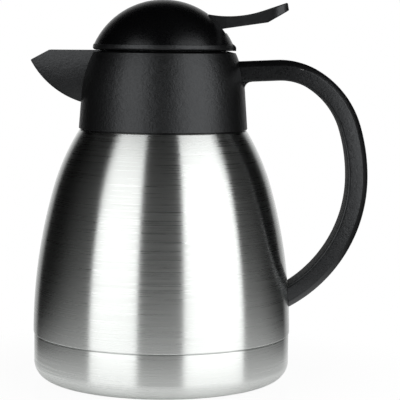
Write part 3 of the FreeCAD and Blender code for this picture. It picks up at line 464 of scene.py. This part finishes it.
def shell_at(z):
    """Outside of the lower sweep of the shell."""
    return SHELL - LOW_SWEEP + math.sqrt(LOW_SWEEP ** 2 - (z - SEAM) ** 2)


def collar_at(z):
    """Outside of the curved upper part of the collar."""
    return COLLAR_R + math.sqrt(COLLAR_SWEEP ** 2 - (z - COLLAR_Z) ** 2)


def meeting(inset, y, surface, outer, inner):
    """Where a line of the loop comes to a round surface, searched between two places."""
    for _ in range(HALVINGS):
        middle = (outer + inner) / 2
        x, z = on_loop(inset, middle)
        if math.hypot(x, y) > surface(z) + PIECE_GAP:
            outer = middle
        else:
            inner = middle
    return outer


def swept(name, profile, node):
    """A profile of (inset, y) carried round the loop from the shell to the collar."""
    first = [meeting(inset, y, shell_at, LOWER_OUT, LOWER_IN) for inset, y in profile]
    last = [meeting(inset, y, collar_at, LOOP_END, LOOP_END + ARM_REACH) for inset, y in profile]
    start = max(first) + CLEAR
    rows = [start + (LOOP_END - start) * step / LOOP_STEPS for step in range(LOOP_STEPS + 1)]
    sections = [first] + [[way] * len(profile) for way in rows] + [last]
    solid = []
    for section in sections:
        ring = []
        for (inset, y), way in zip(profile, section):
            x, z = on_loop(inset, way)
            ring.append((x, y, z))
        solid.append(ring)
    skinned(name, solid, "black_plastic", "pot", node, look="grip_plastic")


def both_sides(half):
    """A half profile from the middle outwards, completed on the other side."""
    return half + [(inset, -y) for inset, y in half[::-1]]


def make_handle():
    """The channel on the finger side, rounded there and drawn in towards the joint line."""
    edge, draft_inset, draft_side = 1.2, 0.4, 0.03
    middle = HANDLE_THICK - edge
    half = [(HANDLE_THICK, HALF_MIDDLE)]
    half += arc(middle, HALF_INNER - edge, edge, 0, 75, steps=5)
    half += [(middle - draft_inset, HALF_INNER - draft_side), (COVER_THICK, HALF_SEAM)]
    swept("handle_skin", both_sides(half), "handle")


def make_cover():
    """The strip along the outside, its broad bevels rounded off where they start from the joint line."""
    joint, edge, blunt, flat_edge = 0.05, 0.6, 0.2, 0.25
    half = arc(COVER_THICK - joint, HALF_SEAM - edge, edge, 90, 135, steps=3)
    bevel_inset, bevel_side = half[-1]
    flat = bevel_side - bevel_inset
    half += [(blunt, flat + blunt), (0.0, flat - flat_edge), (0.0, HALF_MIDDLE)]
    swept("cover_skin", both_sides(half), "handle_cover")


def make_arm_foot():
    """The small hollow fillet under the arm where it meets the collar."""
    size, arm_z, collar = 4.0, 162.386, 43.760
    half_width, gap, sunk, into_arm = 7.2, 0.4, 0.3, 0.9
    back_top, back_low = 0.7, 0.1
    low = arm_z - size
    rings = []
    for y in rows_across(half_width):
        start = collar + gap - set_back(collar, y)
        ring = [(start - sunk + back_top, y, arm_z + into_arm), (start - sunk + back_low, y, low)]
        ring += [(x, y, z) for x, z in arc(start + size, low, size, 180, 90, steps=8)]
        ring.append((start + size, y, arm_z + into_arm))
        rings.append(ring)
    skinned("arm_foot", rings, "black_plastic", "pot")


# Edges of the lid

def make_dome_bead():
    """The rounded bead along the lower edge of the dome, a little proud of it."""
    top = [(37.2, 182.0), (37.95, 182.05), (38.08, 181.98), (38.16, 181.84)]
    face = [(38.22, 181.6), (38.31, 181.2), (38.39, 180.8), (38.44, 180.4), (38.43, 180.0)]
    under = [(38.34, 179.7), (38.15, 179.4), (37.8, 179.15), (37.2, 179.05)]
    turned("dome_bead", top + face + under, "lid_plastic", "lid", sharp=50.0, look="black_plastic")


def make_slot_lip():
    """A thin lip on the upper end of the lever's slot, close above the lever."""
    end, half_width = 23.8, 6.8
    back, front, crest = end - 0.4, end + 0.5, end + 0.05
    under, crest_z, top = 198.38, 198.66, 198.8
    outline = ((back, under), (front, under), (crest, crest_z), (back, top))
    rings = []
    for y in rows_across(half_width):
        rings.append([(x - set_back(end, y), y, z) for x, z in outline])
    skinned("slot_lip", rings, "lid_plastic", "lid")


# Screw thread of the stopper

def make_thread():
    """Two low ridges that climb over a quarter of the way round the stopper, clear of its window."""
    wall, height, root = 32.2, 0.6, 0.15
    foot, flat = 1.5, 0.6
    low, climb, sweep, run_out = 164.0, 5.0, 104.0, 8
    steps = 40
    for start in (38.0, 218.0):
        rings = []
        for step in range(steps + 1):
            share = step / steps
            angle = math.radians(start + sweep * share)
            crest = wall + root + (height - root) * min(1.0, run_out * share, run_out * (1 - share))
            z = low + climb * share
            ring = []
            for r, up in ((wall, -foot), (crest, -flat), (crest, flat), (wall, foot)):
                ring.append((r * math.cos(angle), r * math.sin(angle), z + up))
            rings.append(ring)
        skinned("stopper_thread", rings, "black_plastic", "lid")


# Valve spring

def make_spring():
    """The coil over the valve, its ends closed.
    """
    radius, wire = 7.2, 0.6
    bottom, top, lift = 144.4, 179.1, 3.5
    turns, closed = 6.5, 0.75
    steps, corners = 208, 10
    around = [math.radians(360 / corners * corner) for corner in range(corners)]
    rings = []
    for step in range(steps + 1):
        turn = turns * step / steps
        share = min(max(turn - closed, 0.0) / (turns - 2 * closed), 1.0)
        z = bottom + wire + (top - bottom - 2 * wire) * share
        angle = 2 * math.pi * turn
        ring = []
        for corner in around:
            r = radius + wire * math.cos(corner)
            ring.append((r * math.cos(angle), r * math.sin(angle), z + wire * math.sin(corner)))
        rings.append(ring)
    coil = skinned("spring_coil", rings, "bright_steel", "lid", "valve_spring", sharp=60.0)
    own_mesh(coil)


make_shell()
make_cup()
make_handle()
make_cover()
make_arm_foot()
make_dome_bead()
make_slot_lip()
make_thread()
make_spring()


# Room: each glow runs between two values of a direction's X, Y or Z, from one level to another

AMBIENT = 0.30
BACKDROP_EDGE, BACKDROP = (0.79, 0.86, 0.0, 0.35), (0.86, 1.0, 0.0, 0.5)
LOW_GLOW, FRONT_GLOW = (-0.25, 0.20, 0.022, 0.001), (-1.0, -0.62, 0.006, 0.0)
LEFT_HALF, LEFT_GLOW = (-0.05, 0.05, 1.0, 0.0), (-0.4, 0.5, 0.10, 0.0)
RIGHT_HALF, RIGHT_GLOW = (-0.05, 0.05, 0.0, 1.0), (0.0, 0.62, 0.105, 0.0)
SIDE_FALL = (-0.2, 0.3, 1.25, 0.18)


def make_world():
    """White to the camera and behind the pot; a dim room in front of it for the steel to mirror."""
    world = bpy.data.worlds.new("studio")
    bpy.context.scene.world = world
    tree = Tree(world)

    def glow(direction, limits):
        return tree.ranged(direction, *limits, easing="SMOOTHSTEP")

    path = tree.add("ShaderNodeLightPath").outputs
    way = tree.add("ShaderNodeSeparateXYZ")
    tree.link(tree.add("ShaderNodeTexCoord").outputs["Generated"], way.inputs["Vector"])
    across, along, up = (way.outputs[axis] for axis in "XYZ")
    mirrored = tree.mirrored_rays(path)
    behind = tree.math("ADD", glow(along, BACKDROP_EDGE), glow(along, BACKDROP))
    white = tree.math("MAXIMUM", path["Is Camera Ray"], tree.math("MULTIPLY", mirrored, behind))
    left = tree.math("MULTIPLY", glow(across, LEFT_HALF), glow(along, LEFT_GLOW))
    right = tree.math("MULTIPLY", glow(across, RIGHT_HALF), glow(along, RIGHT_GLOW))
    beside = tree.math("MULTIPLY", tree.math("ADD", left, right), glow(up, SIDE_FALL))
    room = tree.math("ADD", tree.math("ADD", glow(up, LOW_GLOW), glow(along, FRONT_GLOW)), beside)
    level = tree.mix(white, tree.mix(mirrored, AMBIENT, room), 1.0)
    background = tree.add("ShaderNodeBackground")
    background.inputs["Color"].default_value = (1.0, 1.0, 1.0, 1.0)
    tree.link(level, background.inputs["Strength"])
    output = tree.add("ShaderNodeOutputWorld")
    tree.link(background.outputs["Background"], output.inputs["Surface"])


# Floor: each range runs between two distances in metres, from one share to another

FLOOR_RADIUS, FLOOR_SEGMENTS = 0.6, 96
FLOOR_TINTS = (0.90, 0.90, 0.895), (0.93, 0.93, 0.925)
# Painted shadow: in the steel the floor does not glow under the foot, a dark line that stands for the
# foot's shadow
PAINTED_FOOT_SHADOW = (0.063, 0.077, 0.0, 0.85)
CLOSE_SHADOW = (0.08, 0.16, 0.94, 1.0)
SEEN_FADE, MIRRORED_FADE = (0.14, 0.28, 0.0, 1.0), (0.09, 0.18, 0.0, 1.0)
# The part that the steel mirrors lies more in front of the pot
MIRRORED_CENTRE, MIRRORED_WEIGHTS = (0.015, -0.05, 0.0), (0.80, 1.0, 1.0)


def make_floor():
    """A white table round the pot that keeps its shadow and fades into the white beyond.

    In the steel it shows white in front of the pot, with a painted shadow: a dark line under the foot,
    where the glow is left out.
    """
    mesh = bpy.data.meshes.new("floor")
    shape = bmesh.new()
    bmesh.ops.create_circle(shape, cap_ends=True, segments=FLOOR_SEGMENTS, radius=FLOOR_RADIUS)
    shape.to_mesh(mesh)
    shape.free()
    floor = bpy.data.objects.new("floor", mesh)
    bpy.context.scene.collection.objects.link(floor)
    shader = Shader("floor_paper")
    shader.set(Roughness=0.22)
    shader.feed("Base Color", shader.tint(shader.noise(scale=3.0, detail=2.0), *FLOOR_TINTS))
    away = shader.distance((0.0, 0.0, 0.0))
    aside = shader.distance(MIRRORED_CENTRE, MIRRORED_WEIGHTS)
    path = shader.add("ShaderNodeLightPath").outputs
    mirrored = shader.mirrored_rays(path)

    # Painted shadow under the foot: no glow there in mirrored rays
    reflected = shader.math("MULTIPLY", mirrored, shader.ranged(away, *PAINTED_FOOT_SHADOW))
    seen = shader.math("MAXIMUM", path["Is Camera Ray"], reflected)
    glow = shader.add("ShaderNodeEmission")
    blend = shader.add("ShaderNodeMixShader")
    shader.link(shader.math("MULTIPLY", seen, shader.ranged(away, *CLOSE_SHADOW)), blend.inputs["Fac"])
    shader.link(shader.surface.outputs["BSDF"], blend.inputs[1])
    shader.link(glow.outputs["Emission"], blend.inputs[2])

    direct = shader.math("SUBTRACT", 1.0, mirrored)
    plain = shader.math("MULTIPLY", shader.ranged(away, *SEEN_FADE), direct)
    in_metal = shader.math("MULTIPLY", shader.ranged(aside, *MIRRORED_FADE), mirrored)
    fade = shader.add("ShaderNodeMixShader")
    shader.link(shader.math("ADD", plain, in_metal), fade.inputs["Fac"])
    shader.link(blend.outputs["Shader"], fade.inputs[1])
    shader.link(shader.add("ShaderNodeBsdfTransparent").outputs["BSDF"], fade.inputs[2])
    shader.link(fade.outputs["Shader"], shader.output.inputs["Surface"])
    mesh.materials.append(shader.material)


# Lamps and camera: metres and degrees

LAMP_DISTANCE = 1.6
LENS, SENSOR, NEAREST = 143.6, 36.0, 0.01
VIEWPOINT, PITCH, ROLL = (0.0205, -0.870, 0.188), 5.95, 0.6


def softbox(name, azimuth, width, height, level, lean, radiance):
    """A tall soft light that leans in its own plane, its azimuth from the camera towards the handle."""
    light = bpy.data.lights.new(name, "AREA")
    light.shape = "RECTANGLE"
    light.size = width
    light.size_y = height
    light.energy = radiance * math.pi * width * height
    lamp = bpy.data.objects.new(name, light)
    bpy.context.scene.collection.objects.link(lamp)
    angle = math.radians(azimuth)
    place = Vector((LAMP_DISTANCE * math.sin(angle), -LAMP_DISTANCE * math.cos(angle), level))
    facing = (Vector((0, 0, level)) - place).to_track_quat("-Z", "Y").to_matrix().to_4x4()
    lamp.matrix_world = Matrix.Translation(place) @ facing @ Matrix.Rotation(math.radians(lean), 4, "Z")
    lamp.visible_camera = False


def make_camera():
    """The view of the photo."""
    camera = bpy.data.cameras.new("camera")
    camera.lens = LENS
    camera.sensor_width = SENSOR
    camera.clip_start = NEAREST
    viewer = bpy.data.objects.new("camera", camera)
    bpy.context.scene.collection.objects.link(viewer)
    tilt = Matrix.Rotation(math.radians(90 - PITCH), 4, "X")
    roll = Matrix.Rotation(math.radians(ROLL), 4, "Z")
    viewer.matrix_world = Matrix.Translation(VIEWPOINT) @ tilt @ roll
    bpy.context.scene.camera = viewer


make_world()
make_floor()
softbox("softbox_left", azimuth=-43.3, width=1.30, height=2.40, level=0.83, lean=4.0, radiance=1.75)
softbox("softbox_right", azimuth=51.5, width=1.74, height=2.62, level=0.95, lean=-7.0, radiance=1.95)
make_camera()
bpy.context.scene.view_settings.view_transform = "Standard"
